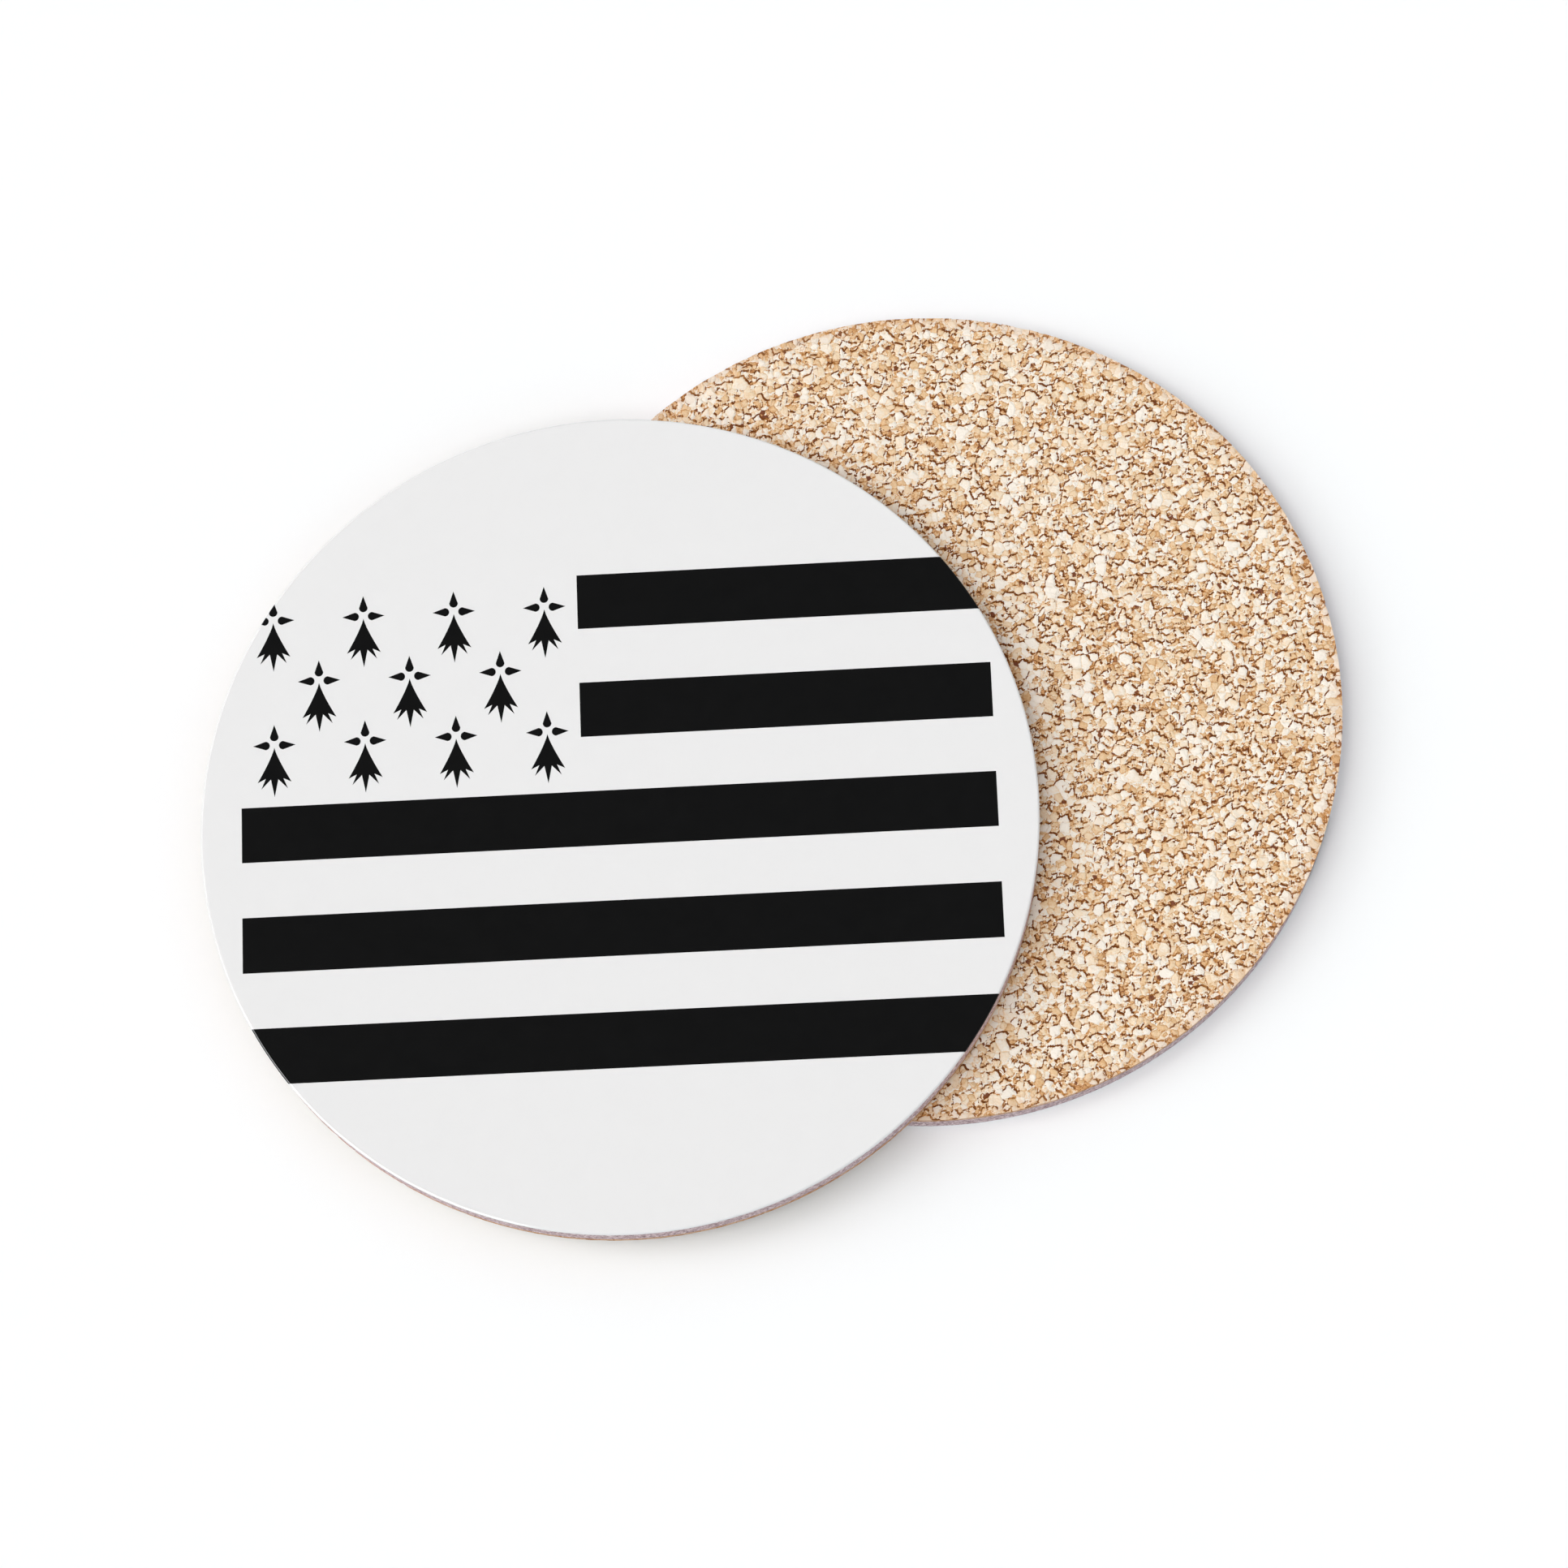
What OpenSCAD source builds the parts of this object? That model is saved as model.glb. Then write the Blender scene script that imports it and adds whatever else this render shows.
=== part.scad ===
// A pair of round drink coasters, one lying on the other: the upper shows its printed face,
// the lower lies on its face and shows its cork. Millimetres, +Z up. The origin is on the table,
// under the middle of the lower coaster.

/* [Coaster] */
// Diameter of a coaster
coaster_d = 95; // [60:1:140]
// Thickness of the fibreboard under the coat
board_t = 3; // [2:0.1:6]
// Thickness of the white gloss coat on the face
coat_t = 0.15; // [0.1:0.05:0.2]
// Radius of the rolled edge of the gloss face
arris_r = 0.3; // [0.25:0.05:0.8]
// Depth that the black print sinks into the coat
ink_t = 0.05; // [0.02:0.01:0.08]
// Thickness of the adhesive film between board and cork
film_t = 0.05; // [0.03:0.01:0.2]
// How far the adhesive film stays back from the rim
film_inset = 0.5; // [0.2:0.1:3]
// Thickness of the cork sheet
cork_t = 0.8; // [0.5:0.05:3]
// Rounding of the cut edge of the cork
cork_edge_r = 0.2; // [0.1:0.05:0.4]

/* [Print] */
// Height of one stripe, and of the white between two stripes
stripe_h = 6.4; // [4:0.1:8]
// White left between the long stripes and the rim, on the middle line
print_margin = 4.7; // [0.5:0.1:17.5]
// Width of the field of spots beside the two short stripes
field_w = 38.8; // [20:0.1:42]
// Height of one spot, from the tip of its clasp to the end of its tail
spot_h = 8.5; // [5:0.1:9]
// White left beside the outer spots of a full row
spot_margin = 1.36; // [0:0.01:5]
// White left above the first row of spots and below the last
row_margin = 1.15; // [0.2:0.05:2.6]
// How deep the side of a spot's tail bows in: 1 is straight
tail_bow = 1.23; // [1:0.01:1.6]

/* [Pair] */
// How far the upper coaster lies to the left of the lower one
shift_x = 35; // [0:0.5:40]
// How far the upper coaster lies in front of the lower one
shift_y = 11.9; // [0:0.1:20]
// How far the lower coaster is turned after it was laid on its face
lower_turn = 11; // [-180:1:180]

/* [Hidden] */
$fn = 180;
// Facets of a whole turn where the curve is under a millimetre
small_fn = 24;
// Radius of a coaster
coaster_r = coaster_d / 2;
// Heights of the joints between the layers, with the cork at the bottom
film_z = cork_t;
board_z = film_z + film_t;
coat_z = board_z + board_t;
coaster_t = coat_z + coat_t;
// Height at which the rolled edge starts, where the coat ends against a rebate of the board
arris_z = coaster_t - arris_r;
// Overrun of the cutting prisms past the faces that they cut
overrun = 1;
// The print has nine bands, five of them black, and the field is as high as four
band_count = 9;
field_bands = 4;
short_stripes = 2;
// Top and width of the print, which is centred on the coaster
print_top = band_count * stripe_h / 2;
print_w = coaster_d - 2 * print_margin;
// Rows of the field, and how many spots the outer rows hold
spot_rows = 3;
spots_in_row = 4;
// Points along each side of a tail
bow_steps = 8;
// The spot's own outline, as shares of its height
drop_length_share = 0.226;
drop_r_share = 0.058;
cross_gap_share = 0.061;
tail_top_share = 0.318;
// The tail's points and notches: share of the height from the middle line, then down from the top
outer_point_shares = [0.229, 0.798];
outer_notch_shares = [0.119, 0.745];
second_point_shares = [0.179, 0.888];
inner_notch_shares = [0.05, 0.756];
cork_color = [0.85, 0.7, 0.5];
film_color = [0.95, 0.93, 0.85];
board_color = [0.68, 0.6, 0.6];
coat_color = [0.93, 0.93, 0.93];
ink_color = [0.09, 0.09, 0.09];

// A disc whose upper edge is rounded, its underside at height zero
module rolled_disc(r, t, edge_r) {
    rotate_extrude() {
        square([r - edge_r, t]);
        square([r, t - edge_r]);
        translate([r - edge_r, t - edge_r])
            intersection() {
                circle(edge_r, $fn = small_fn);
                square(edge_r);
            }
    }
}

// The whole coaster down to a given depth below its finished face
module blank(depth) {
    rolled_disc(coaster_r - depth, coaster_t - depth, arris_r - depth);
}

// The skin between the finished face and a given depth, rolled over the arris to its foot
module skin(depth) {
    difference() {
        blank(0);
        blank(depth);
        cylinder(h = arris_z, r = coaster_r + overrun);
    }
}

// A teardrop that points along +Y, its round end towards the middle of the clasp
module drop() {
    r = drop_r_share * spot_h;
    translate([0, cross_gap_share * spot_h + r]) {
        circle(r, $fn = small_fn);
        polygon([[-r, 0], [r, 0], [0, drop_length_share * spot_h - r]]);
    }
}

// One side of the tail, from its tip down to the middle point
function tail_side(side) = concat(
    [for (i = [0:bow_steps]) let (s = i / bow_steps)
        [side * outer_point_shares[0] * spot_h * pow(s, tail_bow),
         -spot_h * (tail_top_share + s * (outer_point_shares[1] - tail_top_share))]],
    [for (p = [outer_notch_shares, second_point_shares, inner_notch_shares])
        [side * p[0] * spot_h, -p[1] * spot_h]]);

function reversed(points) = [for (i = [len(points) - 1:-1:1]) points[i]];

// One ermine spot: a clasp of three drops over a tail with five points, its top at the origin
module spot() {
    for (turn = [-90, 0, 90])
        translate([0, -(cross_gap_share + drop_length_share) * spot_h])
            rotate(turn)
                drop();
    polygon(concat(tail_side(1), [[0, -spot_h]], reversed(tail_side(-1))));
}

// The spots of the field: full rows at the top and bottom, the middle row set between them
module spot_field() {
    spot_w = 2 * (cross_gap_share + drop_length_share) * spot_h;
    spot_pitch = (field_w - 2 * spot_margin - spot_w) / (spots_in_row - 1);
    row_pitch = (field_bands * stripe_h - 2 * row_margin - spot_h) / (spot_rows - 1);
    middle_x = (field_w - print_w) / 2;
    first_y = print_top - row_margin;
    for (row = [0:spot_rows - 1]) {
        count = row % 2 == 0 ? spots_in_row : spots_in_row - 1;
        for (i = [0:count - 1])
            translate([middle_x + (i - (count - 1) / 2) * spot_pitch, first_y - row * row_pitch])
                spot();
    }
}

// The five black stripes: two short ones beside the field, three over the whole width
module stripe_bands() {
    for (i = [0:2:band_count - 1]) {
        left = i / 2 < short_stripes ? field_w : 0;
        translate([left - print_w / 2, print_top - (i + 1) * stripe_h])
            square([print_w - left, stripe_h]);
    }
}

// A part of the print as a thin inlay in the skin of the coat
module inlay() {
    intersection() {
        skin(ink_t);
        linear_extrude(height = coaster_t + overrun)
            children();
    }
}

// The pieces of one coaster, cork down, in the order in which they are laid up
module cork() {
    color(cork_color)
        mirror([0, 0, 1])
            translate([0, 0, -cork_t])
                rolled_disc(coaster_r, cork_t, cork_edge_r);
}

module adhesive() {
    color(film_color)
        translate([0, 0, film_z])
            cylinder(h = film_t, r = coaster_r - film_inset);
}

module hardboard() {
    color(board_color)
        translate([0, 0, board_z]) {
            cylinder(h = arris_z - board_z, r = coaster_r);
            rolled_disc(coaster_r - coat_t, board_t, arris_r - coat_t);
        }
}

module gloss_coat() {
    color(coat_color)
        difference() {
            skin(coat_t);
            inlay() {
                stripe_bands();
                spot_field();
            }
        }
}

module stripes() {
    color(ink_color)
        inlay() stripe_bands();
}

module spots() {
    color(ink_color)
        inlay() spot_field();
}

// Places of the two coasters: the upper on the lower, the lower turned over on its face
module upper_place() {
    translate([-shift_x, -shift_y, coaster_t])
        children();
}

module lower_place() {
    rotate(lower_turn)
        translate([0, 0, coaster_t])
            rotate([0, 180, 0])
                children();
}

upper_place() cork();  // upper_cork
upper_place() adhesive();  // upper_adhesive
upper_place() hardboard();  // upper_hardboard
upper_place() gloss_coat();  // upper_gloss_coat
upper_place() stripes();  // upper_stripes
upper_place() spots();  // upper_spots
lower_place() cork();  // lower_cork
lower_place() adhesive();  // lower_adhesive
lower_place() hardboard();  // lower_hardboard
lower_place() gloss_coat();  // lower_gloss_coat
lower_place() stripes();  // lower_stripes
lower_place() spots();  // lower_spots
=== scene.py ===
import math
import random

import bpy
from mathutils import Euler, Matrix, Vector
from mathutils.geometry import delaunay_2d_cdt


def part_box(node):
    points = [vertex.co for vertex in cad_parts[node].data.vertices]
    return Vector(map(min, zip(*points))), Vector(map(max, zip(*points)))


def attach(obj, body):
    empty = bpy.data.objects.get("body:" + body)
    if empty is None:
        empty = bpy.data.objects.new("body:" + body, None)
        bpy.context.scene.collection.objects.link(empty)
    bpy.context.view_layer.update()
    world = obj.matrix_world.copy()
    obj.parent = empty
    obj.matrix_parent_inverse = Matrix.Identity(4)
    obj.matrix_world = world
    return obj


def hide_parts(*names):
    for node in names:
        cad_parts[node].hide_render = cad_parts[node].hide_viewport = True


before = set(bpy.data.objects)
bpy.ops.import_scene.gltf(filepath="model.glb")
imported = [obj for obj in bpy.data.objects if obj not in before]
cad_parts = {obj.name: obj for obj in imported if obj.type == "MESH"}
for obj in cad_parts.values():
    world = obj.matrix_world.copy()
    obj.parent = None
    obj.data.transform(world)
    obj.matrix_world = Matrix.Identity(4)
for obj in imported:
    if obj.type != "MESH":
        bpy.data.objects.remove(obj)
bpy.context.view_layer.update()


# Cork sheets. Each is cut from a block of cork grains bound with a little glue, so its face is a
# paving of pale broken grains of many sizes with brown hollows between them.
MM = 0.001
LOWER_TURN = math.radians(11)
cork_low, cork_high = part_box("upper_cork")
upper_middle = (cork_low + cork_high) / 2
coaster_r = round((cork_high.x - cork_low.x) / 2 / MM, 1) * MM
cork_t = cork_high.z - cork_low.z
coaster_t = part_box("upper_gloss_coat")[1].z - cork_low.z

# Where the two coasters lie: the upper with its cork down, the lower turned over on its face
places = {
    "upper": Matrix.Translation((upper_middle.x, upper_middle.y, cork_low.z)),
    "lower": (
        Matrix.Rotation(LOWER_TURN, 4, "Z")
        @ Matrix.Translation((0, 0, coaster_t))
        @ Matrix.Rotation(math.pi, 4, "Y")
    ),
}


def only(piece):
    """Selects one piece and nothing else."""
    bpy.ops.object.select_all(action="DESELECT")
    piece.select_set(True)
    bpy.context.view_layer.objects.active = piece


def lay(piece, side):
    """Puts a piece that was modelled cork down at the origin into its coaster, and lets it ride there."""
    only(piece)
    piece.matrix_world = places[side]
    bpy.ops.object.transform_apply(location=True, rotation=True, scale=True)
    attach(piece, side + "_coaster")


# A crumb is the smallest bit of cork, and a grain is one crumb or a few that hold together
CORK_SEED = 11
LARGEST_CRUMB = 1.0 * MM
SMALLEST_CRUMB = 0.46 * MM
CRUMB_TRIES = 150000
CRUMBS_IN_GRAIN = (1, 1, 1, 1, 1, 1, 2, 2, 3)
# The size tried falls along a curve, and a crumb's middle stays this share of its size off the rim
SHRINK_BEND = 0.4
RIM_SPARE = 0.4
# The band along the rim in which crumbs are mirrored, and the distance at which two places are one
RIM_BAND = 2 * MM
SAME_PLACE = 1e-9


def scatter_crumbs(rng):
    """Middles of the crumbs on the disc, the large ones first, so that the small ones fill in."""
    step = LARGEST_CRUMB
    squares = {}
    crumbs = []
    for n in range(CRUMB_TRIES):
        largeness = 1 - (n / CRUMB_TRIES) ** SHRINK_BEND
        size = SMALLEST_CRUMB + (LARGEST_CRUMB - SMALLEST_CRUMB) * largeness
        turn, reach = rng.uniform(0, 2 * math.pi), coaster_r * math.sqrt(rng.random())
        if reach > coaster_r - RIM_SPARE * size:
            continue
        x, y = reach * math.cos(turn), reach * math.sin(turn)
        i, j = int(x // step), int(y // step)
        near = [c for a in (i - 1, i, i + 1) for b in (j - 1, j, j + 1) for c in squares.get((a, b), ())]
        if all(math.hypot(x - c[0], y - c[1]) > (size + c[2]) / 2 for c in near):
            crumbs.append((x, y, size))
            squares.setdefault((i, j), []).append(crumbs[-1])
    return [Vector(c[:2]) for c in crumbs]


def circumcentre(a, b, c):
    """The point that is as far from a as from b and c."""
    d = 2 * (a.x * (b.y - c.y) + b.x * (c.y - a.y) + c.x * (a.y - b.y))
    aa, bb, cc = a.length_squared, b.length_squared, c.length_squared
    return Vector((
        (aa * (b.y - c.y) + bb * (c.y - a.y) + cc * (a.y - b.y)) / d,
        (aa * (c.x - b.x) + bb * (a.x - c.x) + cc * (b.x - a.x)) / d,
    ))


def divide_disc(crumbs):
    """The ground of each crumb: all corners, the crumbs that meet at each, and each crumb's own ring."""
    # A crumb and its mirror image beyond the rim share a side, which lies along the rim
    mirrored = [p * (2 * coaster_r / p.length - 1) for p in crumbs if p.length > coaster_r - RIM_BAND]
    found = delaunay_2d_cdt(crumbs + mirrored, [], [], 0, SAME_PLACE)
    owner = [min(origins) if min(origins) < len(crumbs) else None for origins in found[3]]
    corners, meeting, around = [], [], [[] for _ in crumbs]
    for triangle in found[2]:
        a, b, c = (found[0][k] for k in triangle)
        owners = [owner[k] for k in triangle]
        if owners == [None] * 3:
            continue
        corner = circumcentre(a, b, c)
        if None in owners:
            corner *= coaster_r / corner.length
        corners.append(corner)
        meeting.append(owners)
        for k in owners:
            if k is not None:
                arm = (a + b + c) / 3 - crumbs[k]
                around[k].append((math.atan2(arm.y, arm.x), len(corners) - 1))
    return corners, meeting, [[c for _, c in sorted(ring)] for ring in around]


def gather_grains(crumbs, meeting, rng):
    """Gathers neighbouring crumbs into grains of one to three, so that the outlines turn irregular."""
    beside = [set() for _ in crumbs]
    for owners in meeting:
        for k in owners:
            if k is not None:
                beside[k].update(o for o in owners if o is not None and o != k)
    grain_of = [None] * len(crumbs)
    order = list(range(len(crumbs)))
    rng.shuffle(order)
    grains = 0
    for first in order:
        if grain_of[first] is not None:
            continue
        members, wanted = [first], rng.choice(CRUMBS_IN_GRAIN)
        grain_of[first] = grains
        while len(members) < wanted:
            middle = sum((crumbs[m] for m in members), Vector((0, 0))) / len(members)
            free = sorted({o for m in members for o in beside[m] if grain_of[o] is None})
            if not free:
                break
            nearest = min(free, key=lambda o: (crumbs[o] - middle).length)
            members.append(nearest)
            grain_of[nearest] = grains
        grains += 1
    return grain_of, grains


# How deep a grain may sink, its slope, the unevenness of its corners, and the dip of a closed joint
GRAIN_SINK = 0.08 * MM
SINK_BEND = 1.5
GRAIN_SLOPE = 0.08
UNEVENNESS = 0.02 * MM
JOINT_DIP = 0.03 * MM
# Share of the joints that stay closed, and how deep and wide the hollows at the others are
CLOSED_SHARE = 0.88
HOLLOW_DEPTHS = (0.03 * MM, 0.10 * MM)
# The widest fifth gape more. Each grain draws back by its own share of the gap, and no further than
# a share of the way to its crumb's middle.
EXTRA_GAP = 0.10 * MM
EXTRA_FROM = 0.8
GAP_SHARES = (0.5, 1.5)
LARGEST_RETREAT = 0.45
# How much the crumbs of one grain differ in shade
CRUMB_SHADE = 0.06


def pave(crumbs, corners, meeting, rings, grain_of, grains, rng):
    """The face as points and faces, cork upwards: grains that touch here and gape there over hollows.
    No operator gives thousands of irregular cells that share their edges, so they are written out."""
    lift = [-GRAIN_SINK * rng.random() ** SINK_BEND for _ in range(grains)]
    lean = [Vector((rng.gauss(0, GRAIN_SLOPE), rng.gauss(0, GRAIN_SLOPE))) for _ in range(grains)]
    tone = [rng.random() for _ in range(grains)]
    members = [[] for _ in range(grains)]
    for k, g in enumerate(grain_of):
        members[g].append(k)
    middles = [sum((crumbs[m] for m in group), Vector((0, 0))) / len(group) for group in members]

    def height_at(g, spot):
        return cork_t + lift[g] + lean[g].dot(spot - middles[g]) + rng.gauss(0, UNEVENNESS)

    verts, hollow, tops, floors = [], [], {}, {}
    for c, (corner, owners) in enumerate(zip(corners, meeting)):
        here = sorted({grain_of[k] for k in owners if k is not None})
        if len(here) == 1 or rng.random() < CLOSED_SHARE:
            height = sum(height_at(g, corner) for g in here) / len(here) - JOINT_DIP * (len(here) > 1)
            tops.update({(g, c): len(verts) for g in here})
            verts.append([corner.x, corner.y, min(height, cork_t)])
            hollow.append(0.0)
            continue
        openness = rng.random()
        depth = HOLLOW_DEPTHS[0] + (HOLLOW_DEPTHS[1] - HOLLOW_DEPTHS[0]) * openness
        gap = depth + EXTRA_GAP * max(0.0, openness - EXTRA_FROM) / (1 - EXTRA_FROM)
        for g in here:
            own = [crumbs[k] for k in owners if k is not None and grain_of[k] == g]
            inward = sum(own, Vector((0, 0))) / len(own) - corner
            retreat = min(gap * rng.uniform(*GAP_SHARES), LARGEST_RETREAT * inward.length)
            spot = corner + inward.normalized() * retreat
            tops[g, c] = len(verts)
            verts.append([spot.x, spot.y, min(height_at(g, spot), cork_t)])
            hollow.append(0.0)
        floors[c] = len(verts)
        verts.append([corner.x, corner.y, min(verts[tops[g, c]][2] for g in here) - depth])
        # Marks the hollow's floor, more the wider it gapes; the finish browns it there, partly as painted
        # shade
        hollow.append((1 + openness) / 2)
    faces, tones = [], []
    for k, ring in enumerate(rings):
        g = grain_of[k]
        shade = tone[g] + rng.gauss(0, CRUMB_SHADE)
        faces.append([tops[g, c] for c in ring])
        tones.append(shade)
        for n, c in enumerate(ring):
            after = ring[(n + 1) % len(ring)]
            across = [o for o in meeting[c] if o in meeting[after] and o != k]
            if across and across[0] is not None and grain_of[across[0]] != g:
                flank = [tops[g, after], tops[g, c]] + [floors[v] for v in (c, after) if v in floors]
                if len(flank) > 2:
                    faces.append(flank)
                    tones.append(shade)
    return verts, faces, hollow, tones


# Width of the ring along the rim that the saw has stained, and how far it has at the rim itself
RIM_STAIN = 1.8 * MM
RIM_STAIN_SHARE = 0.5


def cork_sheet():
    """The whole sheet with its cut side and its flat back, modelled face up and then turned face down."""
    rng = random.Random(CORK_SEED)
    crumbs = scatter_crumbs(rng)
    corners, meeting, rings = divide_disc(crumbs)
    grain_of, grains = gather_grains(crumbs, meeting, rng)
    verts, faces, hollow, tones = pave(crumbs, corners, meeting, rings, grain_of, grains, rng)
    mesh = bpy.data.meshes.new("cork_sheet")
    mesh.from_pydata(verts, [], faces)
    mesh.attributes.new("hollow", "FLOAT", "POINT").data.foreach_set("value", hollow)
    mesh.attributes.new("tone", "FLOAT", "FACE").data.foreach_set("value", tones)
    sheet = bpy.data.objects.new("cork_sheet", mesh)
    bpy.context.collection.objects.link(sheet)
    only(sheet)
    bpy.ops.object.mode_set(mode="EDIT")
    bpy.ops.mesh.select_mode(type="VERT")
    bpy.ops.mesh.select_all(action="DESELECT")
    bpy.ops.mesh.select_non_manifold(extend=False)
    bpy.ops.mesh.extrude_region_move()
    bpy.ops.transform.resize(value=(1, 1, 0), center_override=(0, 0, 0))
    bpy.ops.mesh.edge_face_add()
    bpy.ops.mesh.select_all(action="SELECT")
    bpy.ops.mesh.normals_make_consistent(inside=False)
    bpy.ops.object.mode_set(mode="OBJECT")
    cut = mesh.attributes.new("cut", "FLOAT", "FACE")
    for face in mesh.polygons:
        side = min(mesh.vertices[v].co.z for v in face.vertices) < SAME_PLACE
        from_rim = coaster_r - math.hypot(face.center.x, face.center.y)
        stain = max(0.0, RIM_STAIN_SHARE * (1 - from_rim / RIM_STAIN))
        cut.data[face.index].value = 1.0 if side else stain
    sheet.matrix_world = Matrix.Translation((0, 0, cork_t)) @ Matrix.Rotation(math.pi, 4, "X")
    bpy.ops.object.transform_apply(location=True, rotation=True, scale=True)
    return sheet


def linear(r, g, b):
    """A colour as it looks on a screen (sRGB, 0 to 255), in the light values that a shader takes."""
    return tuple(
        (c / 255 / 12.92) if c <= 10 else ((c / 255 + 0.055) / 1.055) ** 2.4 for c in (r, g, b)
    ) + (1.0,)


def finish_of(name, roughness):
    """A new material with its shader, and short calls to add and join its nodes."""
    material = bpy.data.materials.new(name)
    material.use_nodes = True
    nodes, links = material.node_tree.nodes, material.node_tree.links
    shader = nodes["Principled BSDF"]
    shader.inputs["Roughness"].default_value = roughness

    def add(kind, **settings):
        node = nodes.new(kind)
        for key, value in settings.items():
            if key in node.inputs:
                node.inputs[key].default_value = value
            else:
                setattr(node, key, value)
        return node

    def join(source, output, target, socket):
        links.new(source.outputs[output], target.inputs[socket])

    return material, shader, add, join


def ramp_of(add, stops):
    """A colour ramp with the given (place, colour) stops."""
    ramp = add("ShaderNodeValToRGB")
    elements = ramp.color_ramp.elements
    while len(elements) < len(stops):
        elements.new(0.5)
    for element, (place, colour) in zip(elements, stops):
        element.position, element.color = place, colour
    return ramp


def number(add, join, operation, first, second):
    """One step of arithmetic on two of: a plain number, or a (node, output) pair."""
    step = add("ShaderNodeMath", operation=operation)
    for n, value in enumerate((first, second)):
        if isinstance(value, tuple):
            join(value[0], value[1], step, n)
        else:
            step.inputs[n].default_value = value
    return step, "Value"


def span(add, join, value, low, high, to_low=0.0, to_high=1.0):
    """Takes a value from one span to another, held at the ends."""
    fit = add("ShaderNodeMapRange", interpolation_type="SMOOTHSTEP")
    join(value[0], value[1], fit, "Value")
    for name, limit in (("From Min", low), ("From Max", high), ("To Min", to_low), ("To Max", to_high)):
        fit.inputs[name].default_value = limit
    return fit, "Result"


# The sockets of a mix node share their names, so they are told apart by their place
FIRST_NUMBER, SECOND_NUMBER = 2, 3
FIRST_COLOUR, SECOND_COLOUR = 6, 7
MIXED_COLOUR = 2


def blend(add, join, share, first, second):
    """Goes from the first number to the second by a share."""
    mix = add("ShaderNodeMix")
    join(share[0], share[1], mix, "Factor")
    for n, value in ((FIRST_NUMBER, first), (SECOND_NUMBER, second)):
        if isinstance(value, tuple):
            join(value[0], value[1], mix, n)
        else:
            mix.inputs[n].default_value = value
    return mix, "Result"


# Used both for real stains and for painted shade
def stain_or_shade(add, join, share, under, colour, blend_type="MIX"):
    """Takes the colour under it towards a plain colour by a share."""
    mix = add("ShaderNodeMix", data_type="RGBA", blend_type=blend_type)
    join(share[0], share[1], mix, "Factor")
    join(under[0], under[1], mix, FIRST_COLOUR)
    mix.inputs[SECOND_COLOUR].default_value = colour
    return mix, MIXED_COLOUR


# The cork's broken chips. For each size: cells to a millimetre, and how far its pattern is moved.
SMALL_CHIPS = (2.0, 0.0)
MIDDLE_CHIPS = (1.30, 31.0)
LARGE_CHIPS = (0.86, 67.0)
# How far a noise pushes their outlines about, in mm
RAGGEDNESS = 0.36
# A chip's first random number says whether it lies over the smaller ones, or whether it is a pit
MIDDLE_OVER = 0.50
LARGE_OVER = 0.88
PIT_UNDER = 0.03
PIT_TONE = -0.6
# Heights and tones of the chips. A small one has its random numbers themselves, 0 to 1.
MIDDLE_HEIGHTS = (0.5, 1.3)
LARGE_HEIGHTS = (0.9, 1.35)
MIDDLE_TONES = (0.16, 0.92)
LARGE_TONES = (0.35, 0.85)


def chips(add, join, place, scale, shift):
    """One size of broken chip: three random numbers for each, and how deep in it a point is, in mm."""
    moved = add("ShaderNodeMapping", Location=(shift, 2 * shift, 3 * shift))
    join(place, "Vector", moved, "Vector")
    cells = add("ShaderNodeTexVoronoi", Scale=scale)
    join(moved, "Vector", cells, "Vector")
    parts = add("ShaderNodeSeparateColor")
    join(cells, "Color", parts, "Color")
    edges = add("ShaderNodeTexVoronoi", Scale=scale, feature="DISTANCE_TO_EDGE")
    join(moved, "Vector", edges, "Vector")
    return parts, number(add, join, "DIVIDE", (edges, "Distance"), scale)


def pile(add, join, in_mm, reach):
    """Height and tone of the chip on top, and the depth in it, at a place or a given reach beside it."""
    aside = add("ShaderNodeVectorMath", operation="ADD")
    join(in_mm, "Vector", aside, 0)
    aside.inputs[1].default_value = reach
    ragged = add("ShaderNodeTexNoise", Scale=3.0, Detail=1.5, Roughness=0.5)
    join(aside, "Vector", ragged, "Vector")
    push = add("ShaderNodeVectorMath", operation="MULTIPLY_ADD")
    join(ragged, "Color", push, 0)
    push.inputs[1].default_value = (RAGGEDNESS,) * 3
    join(aside, "Vector", push, 2)
    small, small_in = chips(add, join, push, *SMALL_CHIPS)
    middle, middle_in = chips(add, join, push, *MIDDLE_CHIPS)
    large, large_in = chips(add, join, push, *LARGE_CHIPS)
    middle_on = number(add, join, "GREATER_THAN", (middle, "Red"), MIDDLE_OVER)
    large_on = number(add, join, "GREATER_THAN", (large, "Red"), LARGE_OVER)
    middle_height = span(add, join, (middle, "Blue"), 0.0, 1.0, *MIDDLE_HEIGHTS)
    large_height = span(add, join, (large, "Blue"), 0.0, 1.0, *LARGE_HEIGHTS)
    height = blend(add, join, middle_on, (small, "Blue"), middle_height)
    height = blend(add, join, large_on, height, large_height)
    pit = number(add, join, "LESS_THAN", (small, "Red"), PIT_UNDER)
    middle_tone = span(add, join, (middle, "Green"), 0.0, 1.0, *MIDDLE_TONES)
    large_tone = span(add, join, (large, "Green"), 0.0, 1.0, *LARGE_TONES)
    tone = blend(add, join, pit, (small, "Green"), PIT_TONE)
    tone = blend(add, join, middle_on, tone, middle_tone)
    tone = blend(add, join, large_on, tone, large_tone)
    inside = blend(add, join, large_on, blend(add, join, middle_on, small_in, middle_in), large_in)
    return height, tone, inside


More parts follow.
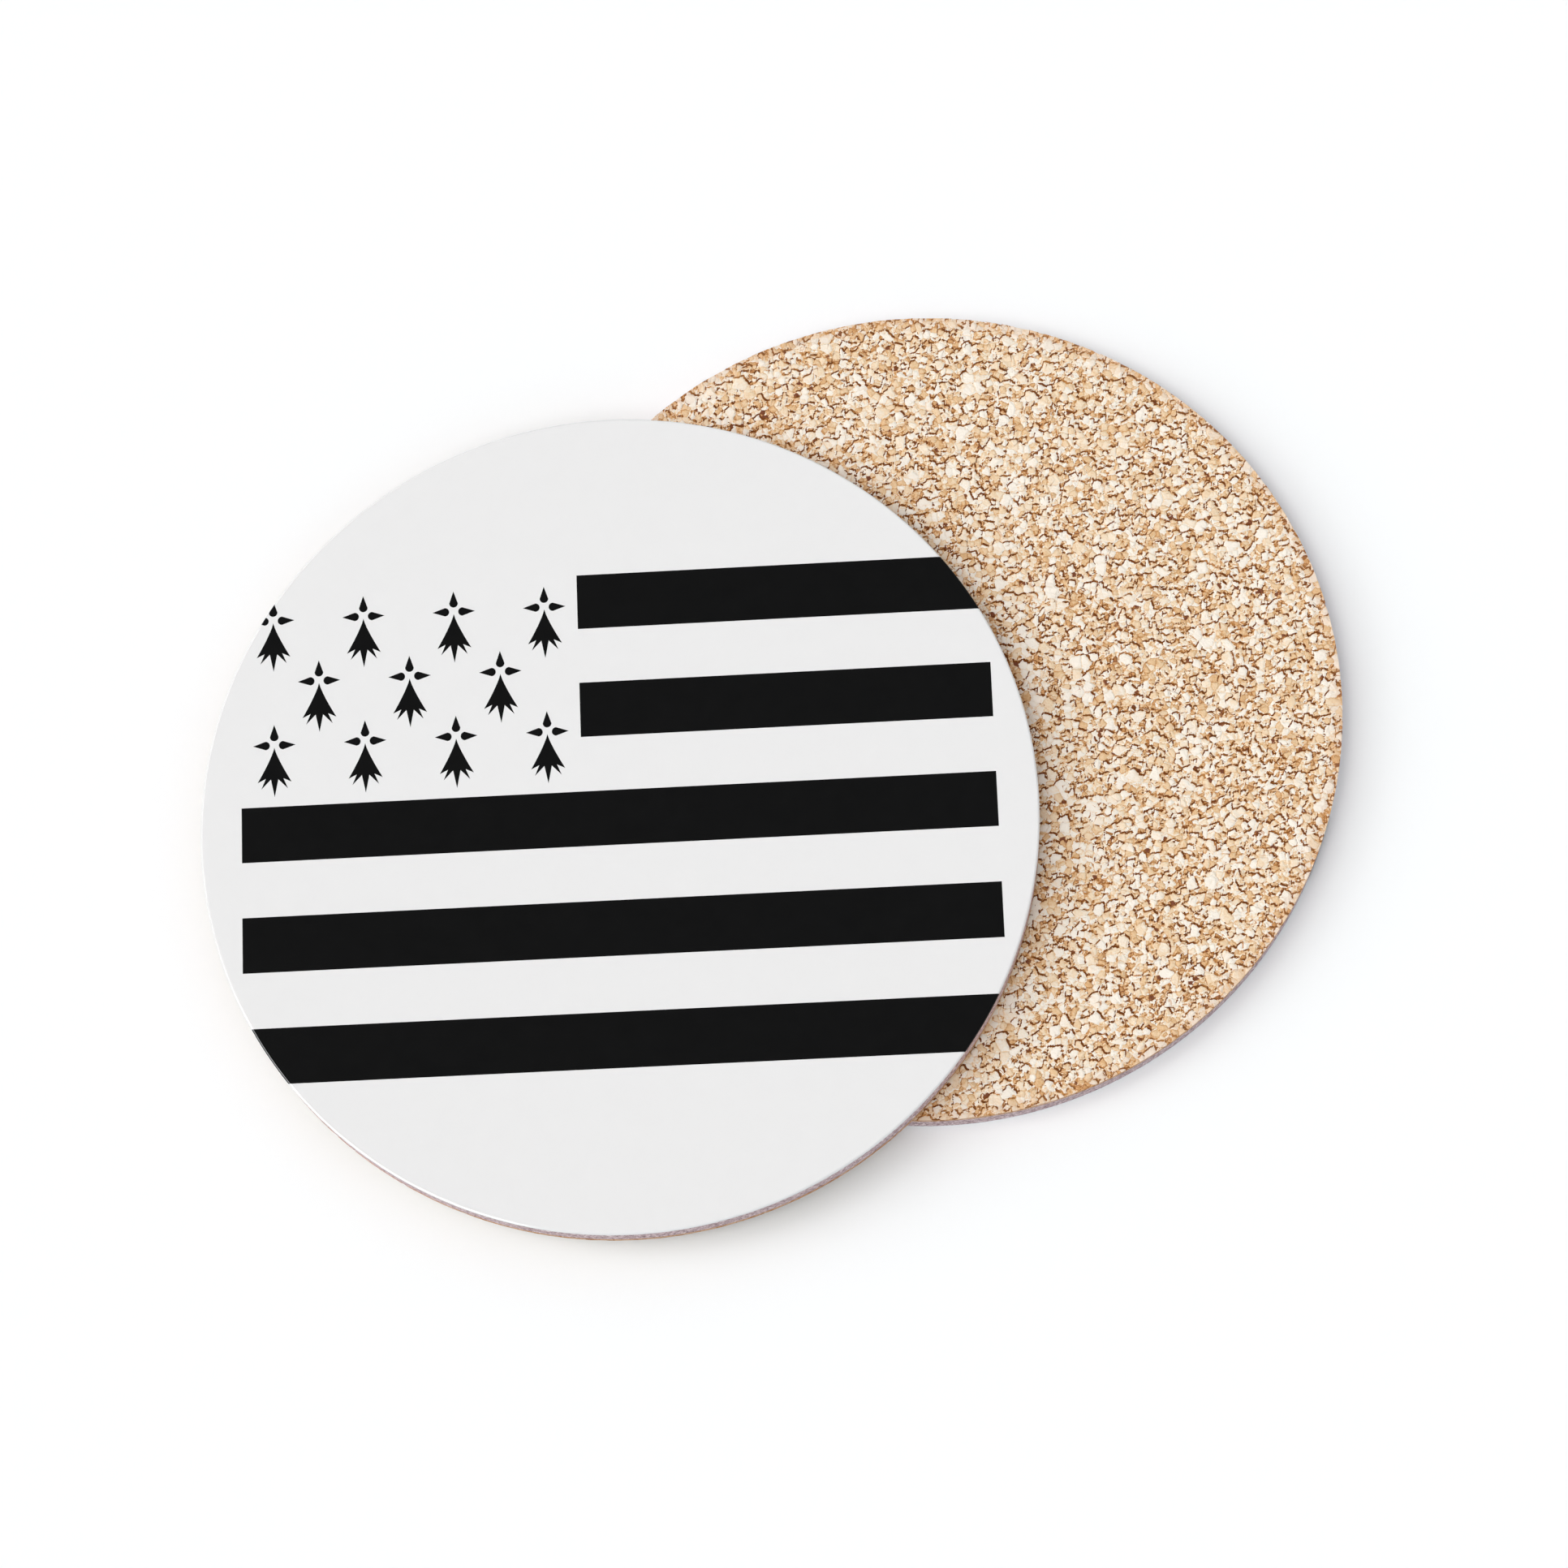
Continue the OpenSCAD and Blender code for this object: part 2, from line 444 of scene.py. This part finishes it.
# Painted shadow slits: how far aside a higher chip is looked for, in mm, and the rise at which the
# painted shadow starts and is full. Where the chip at the last of these places is lower instead, the
# edge gets a painted highlight, a pale lip.
SHADOW_SLITS = (((-0.16, -0.22, 0), 0.32, 0.66), ((0.08, -0.16, 0), 0.26, 0.56))
HIGHLIGHT_LIP_STEPS = (-0.60, -0.15)
HIGHLIGHT_LIP_TONES = (0.28, 0.0)
# What the chip, its height and its grain weigh in the tone, and what the mottle and the painted
# shade at the chip's border add
CHIP_WEIGHT = 0.66
HEIGHT_WEIGHT = 0.22
GRAIN_WEIGHT = 0.16
MOTTLE_SPAN = (0.25, 0.75)
MOTTLE_TONES = (-0.06, 0.10)
SHADED_BORDER_WIDTH = 0.09
BORDER_SHADE_TONES = (-0.20, 0.06)
# How the painted shade of slits and hollows starts as a tan fringe and deepens to brown; in the
# hollows it is partly their own dark joint colour, partly painted shade. And how much the saw stains
HOLLOW_SHADE_SPAN = (0.30, 0.90)
SHADE_FRINGE_GAIN = 2.2
SHADE_FRINGE_TAN = linear(212, 148, 82)
SHADE_DEEPENING = 1.6
JOINT_AND_SHADE_BROWN = (0.29, 0.19, 0.15, 1)
SAWN_SHARE = 0.65
SAWN_TAN = linear(208, 150, 96)
# Each chip is rounded off towards its border
ROUNDING_WIDTH = 0.20
ROUNDING_HEIGHT = 0.9


def cork_finish():
    """Chips of three sizes over one another, cream on top and tan below. Each chip gets a painted
    shadow, a brown slit, where a chip a little aside on one side stands higher, and a painted
    highlight where that chip stands lower; its border is painted darker as shade."""
    material, shader, add, join = finish_of("granulated_cork", roughness=0.85)
    shader.inputs["Specular IOR Level"].default_value = 0.05
    place = add("ShaderNodeTexCoord")
    in_mm = add("ShaderNodeMapping", Scale=(1 / MM, 1 / MM, 1 / MM))
    join(place, "Object", in_mm, "Vector")
    height, chip_tone, inside = pile(add, join, in_mm, (0, 0, 0))
    # Painted shadow: a brown slit wherever the chip a little aside stands higher than this one
    slit_shadow = 0.0
    for reach, first, last in SHADOW_SLITS:
        beside = pile(add, join, in_mm, reach)[0]
        step = number(add, join, "SUBTRACT", beside, height)
        slit_shadow = number(add, join, "MAXIMUM", slit_shadow, span(add, join, step, first, last))
    # Painted highlight: where the last chip looked at stands lower, the edge is painted paler
    lip_highlight = span(add, join, step, *HIGHLIGHT_LIP_STEPS, *HIGHLIGHT_LIP_TONES)

    # The tone: each chip's own, its height, the grain's under it, a soft mottle, the painted shade at
    # the border and the painted highlight at the lip
    tone = add("ShaderNodeAttribute", attribute_name="tone")
    mottle = add("ShaderNodeTexNoise", Scale=4.0, Detail=4.0, Roughness=0.7)
    join(in_mm, "Vector", mottle, "Vector")
    full = number(add, join, "MULTIPLY", chip_tone, CHIP_WEIGHT)
    for part in (
        number(add, join, "MULTIPLY", height, HEIGHT_WEIGHT),
        number(add, join, "MULTIPLY", (tone, "Fac"), GRAIN_WEIGHT),
        span(add, join, (mottle, "Fac"), *MOTTLE_SPAN, *MOTTLE_TONES),
        # Painted shade: darker towards each chip's border
        span(add, join, inside, 0.0, SHADED_BORDER_WIDTH, *BORDER_SHADE_TONES),
        lip_highlight,
    ):
        full = number(add, join, "ADD", full, part)
    grain = ramp_of(add, (
        (0.00, linear(128, 76, 54)),
        (0.12, linear(198, 138, 84)),
        (0.26, linear(222, 173, 120)),
        (0.42, linear(237, 202, 158)),
        (0.60, linear(249, 226, 195)),
        (0.84, linear(255, 246, 233)),
    ))
    join(full[0], full[1], grain, "Fac")

    # Tan, then brown: painted shadow in the slits, and in the hollows between the grains their own dark
    # joint colour deepened by painted shade; and a stain at the cut rim
    hollow = add("ShaderNodeAttribute", attribute_name="hollow")
    # Painted shade in the slits, and brown in the hollows, partly painted shade
    joint_and_shade = number(add, join, "MAXIMUM", slit_shadow, span(add, join, (hollow, "Fac"), *HOLLOW_SHADE_SPAN))
    shade_fringe = number(add, join, "MULTIPLY", joint_and_shade, SHADE_FRINGE_GAIN)
    colour = stain_or_shade(add, join, shade_fringe, (grain, "Color"), SHADE_FRINGE_TAN)
    shade_core = number(add, join, "POWER", joint_and_shade, SHADE_DEEPENING)
    colour = stain_or_shade(add, join, shade_core, colour, JOINT_AND_SHADE_BROWN, blend_type="MULTIPLY")
    cut = add("ShaderNodeAttribute", attribute_name="cut")
    sawn = number(add, join, "MULTIPLY", (cut, "Fac"), SAWN_SHARE)
    colour = stain_or_shade(add, join, sawn, colour, SAWN_TAN)
    join(colour[0], colour[1], shader, "Base Color")
    rounding = span(add, join, inside, 0.0, ROUNDING_WIDTH, 0.0, ROUNDING_HEIGHT)
    relief = number(add, join, "ADD", (mottle, "Fac"), rounding)
    bump = add("ShaderNodeBump", Strength=0.8, Distance=0.1 * MM)
    join(relief[0], relief[1], bump, "Height")
    join(bump, "Normal", shader, "Normal")
    return material


sheet = cork_sheet()
sheet.data.materials.append(cork_finish())
lower_sheet = sheet.copy()
lower_sheet.data = sheet.data.copy()
bpy.context.collection.objects.link(lower_sheet)
for side, piece in (("upper", sheet), ("lower", lower_sheet)):
    piece.name = side + "_cork_sheet"
    lay(piece, side)
    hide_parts(side + "_cork")


# Adhesive film. A thin double-sided film between cork and board, which never shows. It keeps its
# CAD solid, with the milky look of such a film.
def film_finish():
    """Milky, with faint streaks."""
    material, shader, add, join = finish_of("milky_film", roughness=0.45)
    place = add("ShaderNodeTexCoord")
    streaks = add("ShaderNodeTexNoise", Scale=900.0, Detail=3.0)
    join(place, "Object", streaks, "Vector")
    milky = ramp_of(add, ((0.35, linear(226, 220, 200)), (0.65, linear(244, 240, 226))))
    join(streaks, "Fac", milky, "Fac")
    join(milky, "Color", shader, "Base Color")
    return material


film = film_finish()
for side in places:
    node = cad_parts[side + "_adhesive"]
    node.data.materials.clear()
    node.data.materials.append(film)


# Hardboard discs. Pressed wood fibre, sawn round, so the edge is a fuzz of short fibres in thin
# layers, mauve brown from the press. The edge is rebated where the coat turns over it.
COAT_T = 0.15 * MM
ARRIS_R = 0.3 * MM
FIBRE_DEPTH = 0.05 * MM
FIBRE_LUMPS = 0.35 * MM
RIM_POINTS = 720
SAW_LAYERS = 12
PIT_BROWN = linear(130, 98, 98)
board_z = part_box("upper_hardboard")[0].z - cork_low.z
arris_z = coaster_t - ARRIS_R


def hardboard_disc():
    """A disc raised in thin layers from a filled circle, with a rolled shoulder under the coat."""
    bpy.ops.object.select_all(action="DESELECT")
    bpy.ops.mesh.primitive_circle_add(
        vertices=RIM_POINTS, radius=coaster_r, fill_type="NGON", location=(0, 0, board_z))
    disc = bpy.context.object
    layer = (arris_z - board_z) / SAW_LAYERS
    bpy.ops.object.mode_set(mode="EDIT")
    bpy.ops.mesh.select_mode(type="FACE")
    bpy.ops.mesh.select_all(action="SELECT")
    for _ in range(SAW_LAYERS):
        bpy.ops.mesh.extrude_region_move(TRANSFORM_OT_translate={"value": (0, 0, layer)})
    bpy.ops.mesh.inset(thickness=COAT_T)
    bpy.ops.mesh.extrude_region_move(TRANSFORM_OT_translate={"value": (0, 0, ARRIS_R - COAT_T)})
    bpy.ops.mesh.select_all(action="SELECT")
    bpy.ops.mesh.normals_make_consistent(inside=False)
    bpy.ops.object.mode_set(mode="OBJECT")
    bpy.ops.object.transform_apply(location=True, rotation=True, scale=True)
    return disc


def roughen(piece, depth, size):
    """Pushes the surface in by up to the given depth, in lumps of the given size."""
    only(piece)
    lumps = bpy.data.textures.new(piece.name + "_fuzz", "CLOUDS")
    lumps.noise_scale = size
    lumps.noise_depth = 3
    push = piece.modifiers.new("fuzz", "DISPLACE")
    push.texture = lumps
    push.strength = depth
    push.mid_level = 1.0
    bpy.ops.object.modifier_apply(modifier=push.name)


def hardboard_finish():
    """Mauve brown fibres lying along the edge, with pale hairs and dark pits."""
    material, shader, add, join = finish_of("sawn_hardboard", roughness=0.8)
    shader.inputs["Specular IOR Level"].default_value = 0.2
    place = add("ShaderNodeTexCoord")
    layered = add("ShaderNodeMapping", Scale=(1.0, 1.0, 0.8))
    join(place, "Object", layered, "Vector")
    fibres = add("ShaderNodeTexNoise", Scale=2400.0, Detail=5.0, Roughness=0.75)
    join(layered, "Vector", fibres, "Vector")
    body = ramp_of(add, (
        (0.36, linear(132, 100, 103)),
        (0.45, linear(193, 163, 165)),
        (0.53, linear(222, 197, 198)),
        (0.62, linear(248, 232, 232)),
    ))
    join(fibres, "Fac", body, "Fac")
    pits = add("ShaderNodeTexNoise", Scale=5200.0, Detail=3.0, Roughness=0.6)
    join(layered, "Vector", pits, "Vector")
    pit_share = ramp_of(add, ((0.30, (1, 1, 1, 1)), (0.40, (0, 0, 0, 1))))
    join(pits, "Fac", pit_share, "Fac")
    pitted = stain_or_shade(add, join, (pit_share, "Color"), (body, "Color"), PIT_BROWN)
    join(pitted[0], pitted[1], shader, "Base Color")
    bump = add("ShaderNodeBump", Strength=0.6, Distance=0.08 * MM)
    join(fibres, "Fac", bump, "Height")
    join(bump, "Normal", shader, "Normal")
    return material


fibreboard = hardboard_finish()
for side in places:
    disc = hardboard_disc()
    disc.name = side + "_hardboard_disc"
    roughen(disc, FIBRE_DEPTH, FIBRE_LUMPS)
    disc.data.materials.append(fibreboard)
    lay(disc, side)
    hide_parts(side + "_hardboard")


# Gloss coats. A white polymer coat, cured hard and glossy on the face, which rolls over the edge
# of the board. Its skin lies a hair below the print, which is sunk in it.
FACE_POINTS = 360
ARRIS_STEPS = 8
PRINT_PROUD = 0.008 * MM


def rolled_skin(name, below, thickness):
    """The skin of the face at a given depth: a disc raised in steps along its quarter round edge."""
    bpy.ops.object.select_all(action="DESELECT")
    bpy.ops.mesh.primitive_circle_add(
        vertices=FACE_POINTS, radius=coaster_r - below, fill_type="NGON", location=(0, 0, arris_z))
    skin = bpy.context.object
    skin.name = name
    bpy.ops.object.transform_apply(location=True, rotation=True, scale=True)
    bpy.ops.object.mode_set(mode="EDIT")
    bpy.ops.mesh.select_mode(type="FACE")
    bpy.ops.mesh.select_all(action="SELECT")
    roll = ARRIS_R - below
    reach, rise = coaster_r - below, 0
    for n in range(1, ARRIS_STEPS + 1):
        turn = math.pi / 2 * n / ARRIS_STEPS
        next_reach, next_rise = coaster_r - ARRIS_R + roll * math.cos(turn), roll * math.sin(turn)
        bpy.ops.mesh.extrude_region_move(TRANSFORM_OT_translate={"value": (0, 0, next_rise - rise)})
        share = next_reach / reach
        bpy.ops.transform.resize(value=(share, share, 1), center_override=(0, 0, 0))
        reach, rise = next_reach, next_rise
    bpy.ops.object.mode_set(mode="OBJECT")
    wall = skin.modifiers.new("wall", "SOLIDIFY")
    wall.thickness = thickness
    wall.offset = -1.0
    wall.use_even_offset = True
    bpy.ops.object.modifier_apply(modifier=wall.name)
    return skin


def smooth_roll(piece):
    """Shades the rolled edge round and keeps the flat face flat."""
    only(piece)
    bpy.ops.object.shade_smooth_by_angle(angle=math.radians(35))
    even = piece.modifiers.new("even", "WEIGHTED_NORMAL")
    even.keep_sharp = True
    bpy.ops.object.modifier_apply(modifier=even.name)


def gloss_finish(name, colours, roughness, specular):
    """A glossy cured surface: a faint orange peel, and a faint cloudiness in its colour."""
    material, shader, add, join = finish_of(name, roughness)
    shader.inputs["Specular IOR Level"].default_value = specular
    place = add("ShaderNodeTexCoord")
    cloud = add("ShaderNodeTexNoise", Scale=420.0, Detail=4.0, Roughness=0.6)
    join(place, "Object", cloud, "Vector")
    tint = ramp_of(add, ((0.3, colours[0]), (0.7, colours[1])))
    join(cloud, "Fac", tint, "Fac")
    join(tint, "Color", shader, "Base Color")
    peel = add("ShaderNodeTexNoise", Scale=1100.0, Detail=2.0, Roughness=0.4)
    join(place, "Object", peel, "Vector")
    bump = add("ShaderNodeBump", Strength=0.12, Distance=0.02 * MM)
    join(peel, "Fac", bump, "Height")
    join(bump, "Normal", shader, "Normal")
    return material


whites = (linear(239, 239, 239), linear(240, 240, 240))
white = gloss_finish("white_gloss_coat", whites, roughness=0.12, specular=0.5)
for side in places:
    skin = rolled_skin(side + "_coat_skin", PRINT_PROUD, COAT_T - PRINT_PROUD)
    smooth_roll(skin)
    skin.data.materials.append(white)
    lay(skin, side)
    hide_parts(side + "_gloss_coat")


# Printed stripes. Black dye cured into the coat: nine bands of one height, five of them black, the
# two upper ones short beside the field of spots. The first and the last run over the rolled edge.
INK_T = 0.03 * MM
STRIPE_H = 6.4 * MM
PRINT_W = 85.6 * MM
FIELD_W = 38.8 * MM
BANDS = 9
SHORT_STRIPES = 2
CUTTER_OVERRUN = 1 * MM
print_top = BANDS * STRIPE_H / 2
ink_low = arris_z - CUTTER_OVERRUN
ink_high = coaster_t + CUTTER_OVERRUN


def prism_over(name, outlines):
    """Flat outlines raised into prisms that stand through the face. The outlines are written out,
    because the bands and the ermine figure are drawn by their own points."""
    verts, faces = [], []
    for outline in outlines:
        faces.append(tuple(range(len(verts), len(verts) + len(outline))))
        verts += [(x, y, ink_low) for x, y in outline]
    mesh = bpy.data.meshes.new(name)
    mesh.from_pydata(verts, [], faces)
    prism = bpy.data.objects.new(name, mesh)
    bpy.context.collection.objects.link(prism)
    only(prism)
    bpy.ops.object.mode_set(mode="EDIT")
    bpy.ops.mesh.select_mode(type="FACE")
    bpy.ops.mesh.select_all(action="SELECT")
    bpy.ops.mesh.extrude_region_move(TRANSFORM_OT_translate={"value": (0, 0, ink_high - ink_low)})
    bpy.ops.mesh.select_all(action="SELECT")
    bpy.ops.mesh.normals_make_consistent(inside=False)
    bpy.ops.object.mode_set(mode="OBJECT")
    return prism


def print_in_face(name, outlines):
    """The part of the face's thin skin that lies under the outlines."""
    ink = rolled_skin(name, 0, INK_T)
    prism = prism_over(name + "_cutter", outlines)
    only(ink)
    cut = ink.modifiers.new("outline", "BOOLEAN")
    cut.operation = "INTERSECT"
    cut.solver = "EXACT"
    cut.object = prism
    bpy.ops.object.modifier_apply(modifier=cut.name)
    bpy.data.objects.remove(prism)
    smooth_roll(ink)
    return ink


def stripe_outlines():
    """The corners of the five black bands, with the two upper ones cut short at the field."""
    outlines = []
    for n in range(0, BANDS, 2):
        left = (FIELD_W if n / 2 < SHORT_STRIPES else 0) - PRINT_W / 2
        low = print_top - (n + 1) * STRIPE_H
        right = PRINT_W / 2
        outlines.append([(left, low), (right, low), (right, low + STRIPE_H), (left, low + STRIPE_H)])
    return outlines


blacks = (linear(11, 11, 11), linear(14, 14, 14))
black = gloss_finish("black_dye", blacks, roughness=0.13, specular=0.3)
for side in places:
    stripes = print_in_face(side + "_stripe_print", stripe_outlines())
    stripes.data.materials.append(black)
    lay(stripes, side)
    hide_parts(side + "_stripes")


# Printed spots. Ermine spots of the traditional kind, in the same black dye: three drops as a
# clasp over a tail with five points. Eleven stand in rows of four, three and four.
SPOT_H = 8.5 * MM
SPOT_PITCH = 10.4 * MM
ROW_PITCH = 7.4 * MM
ROWS = (4, 3, 4)
FIELD_BANDS = 4
DROP_R = 0.058
DROP_LENGTH = 0.226
CLASP_GAP = 0.061
TAIL_TOP = 0.318
OUTER_POINT = (0.229, 0.798)
TAIL_NOTCHES = ((0.119, 0.745), (0.179, 0.888), (0.05, 0.756))
TAIL_BOW = 1.23
BOW_STEPS = 8
ROUND_STEPS = 16


def drop_outline(turn):
    """One drop of the clasp, as shares of the spot's height: a half round end and a pointed one."""
    centre = CLASP_GAP + DROP_R
    outline = [(0, CLASP_GAP + DROP_LENGTH)]
    for n in range(ROUND_STEPS + 1):
        a = math.pi + math.pi * n / ROUND_STEPS
        outline.append((DROP_R * math.cos(a), centre + DROP_R * math.sin(a)))
    c, s = math.cos(turn), math.sin(turn)
    low = -(CLASP_GAP + DROP_LENGTH)
    return [(x * c - y * s, low + x * s + y * c) for x, y in outline]


def tail_outline():
    """The tail: its sides bow in a little from the tip, and its foot is cut into five points."""
    right = []
    for n in range(BOW_STEPS + 1):
        s = n / BOW_STEPS
        right.append((OUTER_POINT[0] * s ** TAIL_BOW, -(TAIL_TOP + s * (OUTER_POINT[1] - TAIL_TOP))))
    right += [(x, -y) for x, y in TAIL_NOTCHES]
    return right + [(0, -1)] + [(-x, y) for x, y in reversed(right[1:])]


def spot_outlines():
    """The eleven spots: the middle row is set between the outer rows, and all share one figure."""
    figure = [drop_outline(turn) for turn in (-math.pi / 2, 0, math.pi / 2)] + [tail_outline()]
    first_top = print_top - (FIELD_BANDS * STRIPE_H - (len(ROWS) - 1) * ROW_PITCH - SPOT_H) / 2
    outlines = []
    for row, count in enumerate(ROWS):
        for n in range(count):
            x = (FIELD_W - PRINT_W) / 2 + (n - (count - 1) / 2) * SPOT_PITCH
            y = first_top - row * ROW_PITCH
            outlines += [[(x + u * SPOT_H, y + v * SPOT_H) for u, v in shape] for shape in figure]
    return outlines


for side in places:
    spots = print_in_face(side + "_spot_print", spot_outlines())
    spots.data.materials.append(black)
    lay(spots, side)
    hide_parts(side + "_spots")


# Floor. A plain white table top, wide enough to fill every view. The camera sees it pure white, and
# the light that it throws back on the coasters is a little less and cooler.
FLOOR_SIZE = 12.0
FLOOR_DROP = 0.02 * MM
THROWN_BACK = (0.74, 0.79, 0.83, 1)
SEEN_WHITE = (0.99, 1.01, 1.02, 1)


def floor_finish():
    """One white for the camera and another for all other light."""
    material, shader, add, join = finish_of("white_table", roughness=0.9)
    shader.inputs["Specular IOR Level"].default_value = 0.0
    ray = add("ShaderNodeLightPath")
    either = add("ShaderNodeMix", data_type="RGBA")
    join(ray, "Is Camera Ray", either, "Factor")
    either.inputs[FIRST_COLOUR].default_value = THROWN_BACK
    either.inputs[SECOND_COLOUR].default_value = SEEN_WHITE
    join(either, MIXED_COLOUR, shader, "Base Color")
    return material


bpy.ops.object.select_all(action="DESELECT")
bpy.ops.mesh.primitive_plane_add(size=FLOOR_SIZE, location=(0, 0, -FLOOR_DROP))
floor = bpy.context.object
floor.name = "floor"
floor.data.materials.append(floor_finish())


# Light. A pale room all round gives nearly half of it. A soft lamp overhead on the left, one overhead
# in front and two lower on the left draw the shadows. A strip at the lower left shines only as a
# reflection on the rolled edge.
LAMP_COLOUR = (1.035, 1.0, 0.972)
STRIP_TURN = 216
STRIP_TILT = 32
STRIP_FAR = 1.6
STRIP_LENGTH = 1.5
STRIP_WIDTH = 0.35
STRIP_POWER = 60


def toward(azimuth, elevation):
    """The direction at an angle round from +X and an angle up from the table, both in degrees."""
    a, e = math.radians(azimuth), math.radians(elevation)
    return Vector((math.cos(a) * math.cos(e), math.sin(a) * math.cos(e), math.sin(e)))


def hang(name, lamp, direction, distance):
    """Puts a lamp in the given direction, facing the middle of the table."""
    hung = bpy.data.objects.new(name, lamp)
    hung.location = distance * direction
    hung.rotation_euler = direction.to_track_quat("Z", "Y").to_euler()
    bpy.context.collection.objects.link(hung)
    return hung


def soft_lamp(name, azimuth, elevation, spread, share):
    """A broad far light, kept out of the gloss. Share is what it adds to a white level surface."""
    lamp = bpy.data.lights.new(name, "SUN")
    lamp.energy = share * math.pi / math.sin(math.radians(elevation))
    lamp.angle = math.radians(spread)
    lamp.color = LAMP_COLOUR
    hung = hang(name, lamp, toward(azimuth, elevation), 0)
    hung.visible_glossy = False


def rim_strip():
    """A long lamp that nothing but a reflection shows."""
    lamp = bpy.data.lights.new("rim_strip", "AREA")
    lamp.shape = "RECTANGLE"
    lamp.size = STRIP_LENGTH
    lamp.size_y = STRIP_WIDTH
    lamp.energy = STRIP_POWER
    hung = hang("rim_strip", lamp, toward(STRIP_TURN, STRIP_TILT), STRIP_FAR)
    hung.visible_diffuse = False
    hung.visible_camera = False


for name, azimuth, elevation, spread, share in (
    ("overhead_left", 180, 68, 30, 0.145),
    ("overhead_front", 240, 68, 30, 0.193),
    ("high_left", 180, 45, 34, 0.118),
    ("low_left", 180, 25, 34, 0.078),
):
    soft_lamp(name, azimuth, elevation, spread, share)
rim_strip()

# The room fills the shadows, but most of its brightness is kept out of the gloss
ROOM_COLOUR = (0.968, 1.0, 1.032, 1)
ROOM_LIGHT = 0.472
KEPT_OFF_GLOSS = 0.30
BACKDROP_COLOUR = (0.8, 0.8, 0.8, 1)
world = bpy.data.worlds.new("studio")
bpy.context.scene.world = world
world.use_nodes = True
world_nodes, world_links = world.node_tree.nodes, world.node_tree.links
room = world_nodes["Background"]
room.inputs["Color"].default_value = ROOM_COLOUR
backdrop = world_nodes.new("ShaderNodeBackground")
backdrop.inputs["Color"].default_value = BACKDROP_COLOUR
path = world_nodes.new("ShaderNodeLightPath")
fill = world_nodes.new("ShaderNodeMath")
fill.operation = "MULTIPLY_ADD"
fill.inputs[1].default_value = -KEPT_OFF_GLOSS
fill.inputs[2].default_value = ROOM_LIGHT
world_links.new(path.outputs["Is Glossy Ray"], fill.inputs[0])
world_links.new(fill.outputs["Value"], room.inputs["Strength"])
choose = world_nodes.new("ShaderNodeMixShader")
world_links.new(path.outputs["Is Camera Ray"], choose.inputs["Fac"])
world_links.new(room.outputs["Background"], choose.inputs[1])
world_links.new(backdrop.outputs["Background"], choose.inputs[2])
world_links.new(choose.outputs["Shader"], world_nodes["World Output"].inputs["Surface"])


# Camera. It looks almost straight down on the pair, a little from the front, from half a metre up.
# Its place and its turns about X, Y and Z, in degrees, bring the rims and stripes over the photo's.
CAMERA_PLACE = Vector((3.94 * MM, -136.52 * MM, 490.48 * MM))
CAMERA_TURNS = (14.691, 2.957, -2.18)
CAMERA_LENS = 101.6
camera_data = bpy.data.cameras.new("camera")
camera_data.lens = CAMERA_LENS
camera = bpy.data.objects.new("camera", camera_data)
camera_turns = Euler([math.radians(turn) for turn in CAMERA_TURNS])
camera.matrix_world = Matrix.LocRotScale(CAMERA_PLACE, camera_turns, None)
bpy.context.collection.objects.link(camera)
bpy.context.scene.camera = camera
bpy.context.scene.view_settings.view_transform = "Standard"
